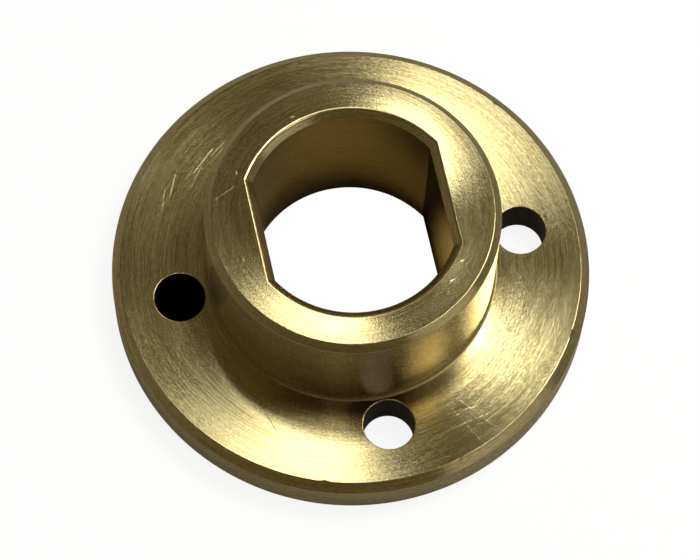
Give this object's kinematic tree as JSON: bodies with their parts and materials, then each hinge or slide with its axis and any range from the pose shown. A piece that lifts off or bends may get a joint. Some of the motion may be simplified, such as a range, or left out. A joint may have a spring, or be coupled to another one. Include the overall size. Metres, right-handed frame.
{
  "type": "flanged guide bushing",
  "caption": "Turned brass flanged bushing in the form of a lead screw nut body: a raised hub with a plain double-D through-bore, and bolt holes round the flange.",
  "frame": {"origin": "centre of the flange's underside, on the axis of the bore", "axes": "+Z along the bore from the flange to the top of the hub, +X square to the bore's two flats and through a bolt hole"},
  "size_m": [0.05, 0.05, 0.019],
  "materials": {
    "turned_brass": "satin turned"
  },
  "bodies": {
    "root": {"flanged_bushing": "turned_brass"}
  },
  "joints": []
}
